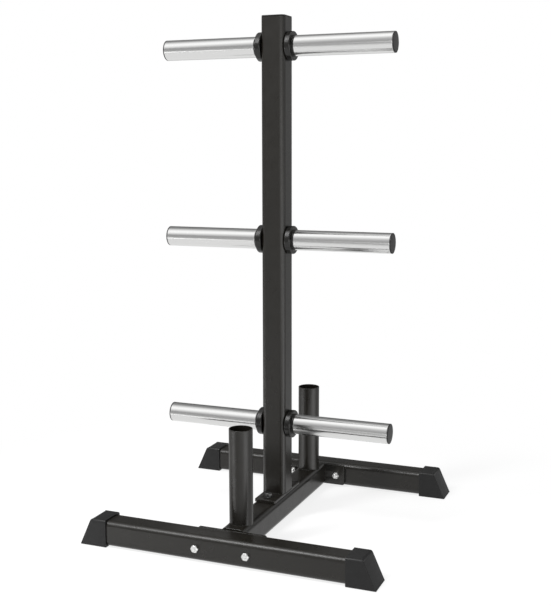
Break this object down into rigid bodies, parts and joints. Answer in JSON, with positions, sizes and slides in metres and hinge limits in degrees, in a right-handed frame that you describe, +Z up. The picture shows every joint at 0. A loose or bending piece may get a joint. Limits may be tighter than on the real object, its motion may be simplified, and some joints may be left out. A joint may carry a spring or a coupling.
{
  "type": "plate tree",
  "caption": "Free-standing plate tree: square post on an H-shaped base with sloped foot caps, chrome plate horns on both sides and open upright tubes that hold barbells.",
  "frame": {"origin": "on the floor, under the middle of the post", "axes": "+Z up along the post, +X along the horns and the feet, +Y along the base beam"},
  "size_m": [0.746, 0.7154, 1.264],
  "materials": {
    "powder_coat": "dark grey powder coat, satin",
    "chrome": "polished",
    "foot_rubber": "matte",
    "black_plastic": "satin black",
    "grey_plastic": "matte dark grey",
    "zinc": "bright zinc plating",
    "black_steel": "black oxide"
  },
  "bodies": {
    "root": {"foot_tube_front": "powder_coat", "foot_cap_front_left": "foot_rubber", "foot_bolt_front_left": "zinc", "foot_nut_front_left": "zinc", "foot_cap_front_right": "foot_rubber", "foot_bolt_front_right": "zinc", "foot_nut_front_right": "zinc", "foot_tube_rear": "powder_coat", "foot_cap_rear_left": "foot_rubber", "foot_bolt_rear_left": "zinc", "foot_nut_rear_left": "zinc", "foot_cap_rear_right": "foot_rubber", "foot_bolt_rear_right": "zinc", "foot_nut_rear_right": "zinc", "base_beam": "powder_coat", "beam_end_plate_front": "powder_coat", "bar_holder_front": "powder_coat", "beam_end_plate_rear": "powder_coat", "bar_holder_rear": "powder_coat", "post_base_plate": "powder_coat", "post_tube": "powder_coat", "post_top_cap": "black_plastic", "weld_nut_front": "black_steel", "post_washer_front": "black_steel", "post_spring_washer_front": "black_steel", "post_bolt_front": "black_steel", "weld_nut_rear": "black_steel", "post_washer_rear": "black_steel", "post_spring_washer_rear": "black_steel", "post_bolt_rear": "black_steel", "horn_stub_left_low": "powder_coat", "horn_collar_left_low": "black_plastic", "horn_sleeve_left_low": "chrome", "horn_plug_left_low": "grey_plastic", "horn_stub_right_low": "powder_coat", "horn_collar_right_low": "black_plastic", "horn_sleeve_right_low": "chrome", "horn_plug_right_low": "grey_plastic", "horn_stub_left_middle": "powder_coat", "horn_collar_left_middle": "black_plastic", "horn_sleeve_left_middle": "chrome", "horn_plug_left_middle": "grey_plastic", "horn_stub_right_middle": "powder_coat", "horn_collar_right_middle": "black_plastic", "horn_sleeve_right_middle": "chrome", "horn_plug_right_middle": "grey_plastic", "horn_stub_left_top": "powder_coat", "horn_collar_left_top": "black_plastic", "horn_sleeve_left_top": "chrome", "horn_plug_left_top": "grey_plastic", "horn_stub_right_top": "powder_coat", "horn_collar_right_top": "black_plastic", "horn_sleeve_right_top": "chrome", "horn_plug_right_top": "grey_plastic"}
  },
  "joints": []
}
